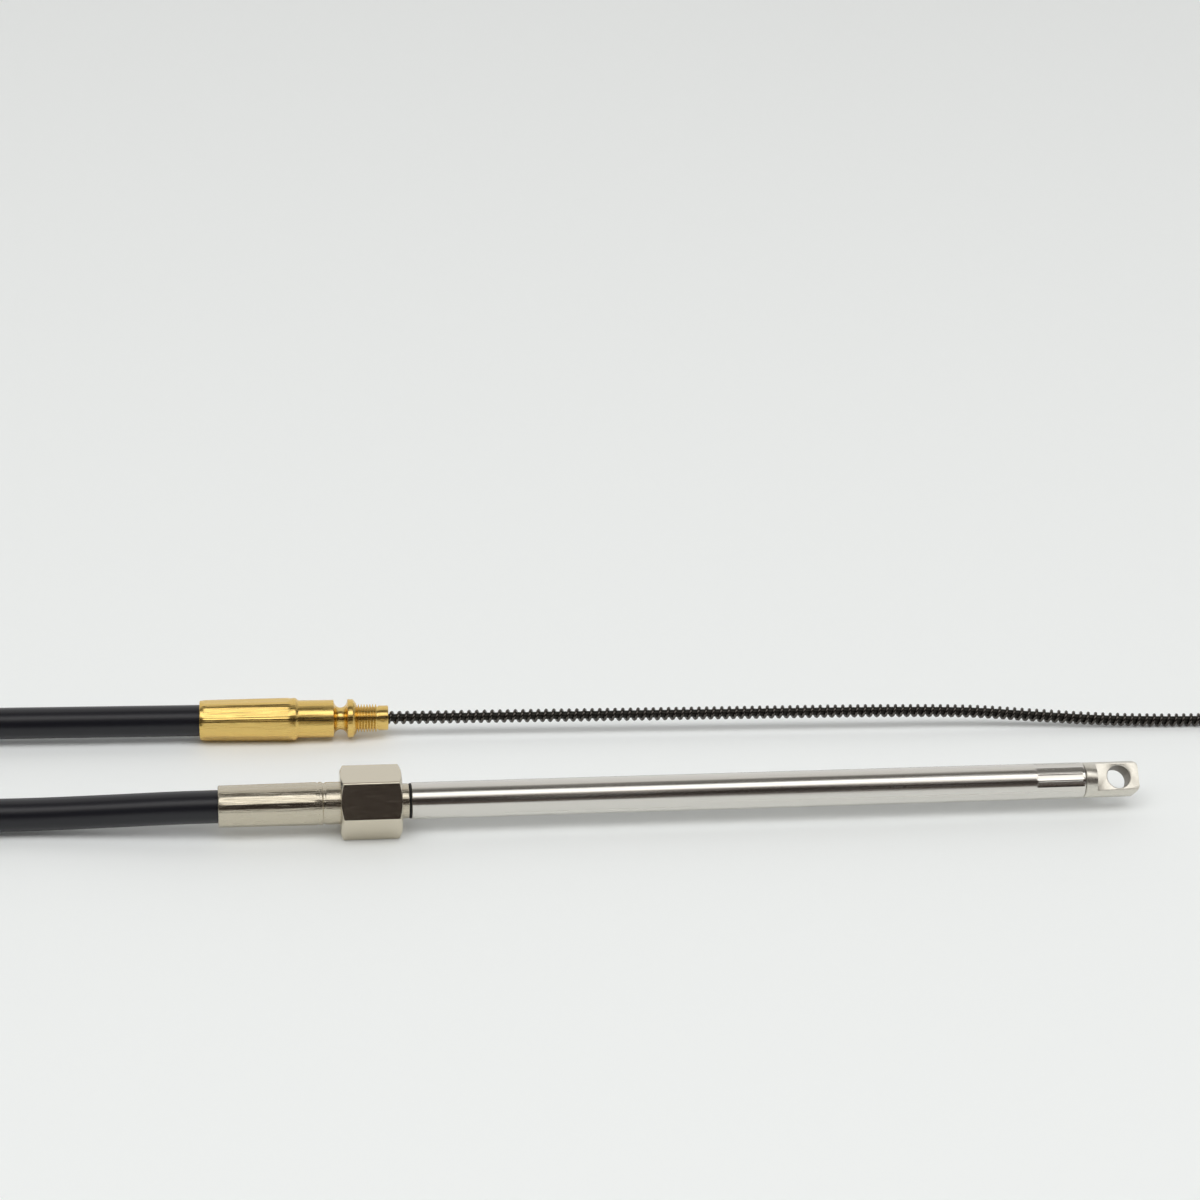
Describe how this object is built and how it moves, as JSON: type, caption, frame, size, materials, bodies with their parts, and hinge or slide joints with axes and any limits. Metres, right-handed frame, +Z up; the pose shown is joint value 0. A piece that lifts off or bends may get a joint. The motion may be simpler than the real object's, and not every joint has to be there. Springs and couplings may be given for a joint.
{
  "type": "boat steering cable",
  "caption": "Boat steering cable: sliding ram with an eye and a captive hex nut at the engine end, brass fitting and helix core at the helm end, conduit put away in a coil.",
  "frame": {"origin": "middle of the lower flat of the hex nut, on the surface that the cable lies on", "axes": "+X along the ram, from the nut to the eye; +Z up"},
  "size_m": [0.827, 0.1838, 0.0314],
  "materials": {
    "conduit_jacket": "smooth extruded plastic, soft sheen",
    "tie_plastic": "moulded",
    "brass": "machined and crimped, bright",
    "nickel_plate": "nickel plate over machined steel",
    "stainless_tube": "drawn and polished",
    "wiper_rubber": "moulded",
    "black_oxide_wire": "black oxide and a film of grease"
  },
  "bodies": {
    "conduit": {"conduit_helm_lead": "conduit_jacket", "conduit_coil": "conduit_jacket", "conduit_engine_lead": "conduit_jacket", "coil_tie_1": "tie_plastic", "coil_tie_2": "tie_plastic", "coil_tie_3": "tie_plastic", "brass_fitting": "brass", "nickel_fitting": "nickel_plate", "support_tube": "stainless_tube"},
    "ram": {"ram_tube": "stainless_tube", "ram_eye": "stainless_tube", "wiper_ring": "wiper_rubber"},
    "nut": {"hex_nut": "nickel_plate"},
    "core": {"core_cable": "black_oxide_wire", "core_tip": "black_oxide_wire"}
  },
  "joints": [
    {"name": "ram_slide", "type": "slide", "parent": "conduit", "child": "ram", "axis": [1, 0, 0], "range_m": [0, 0.229]},
    {"name": "core_slide", "type": "slide", "parent": "conduit", "child": "core", "axis": [-0.9997, 0.0262, 0], "range_m": [0, 0.229]},
    {"name": "nut_turn", "type": "hinge", "parent": "conduit", "child": "nut", "pos_m": [0, 0, 0.014], "axis": [1, 0, 0], "continuous": true}
  ],
  "couplings": [
    {"joint": "core_slide", "follows": "ram_slide", "ratio": 1}
  ]
}
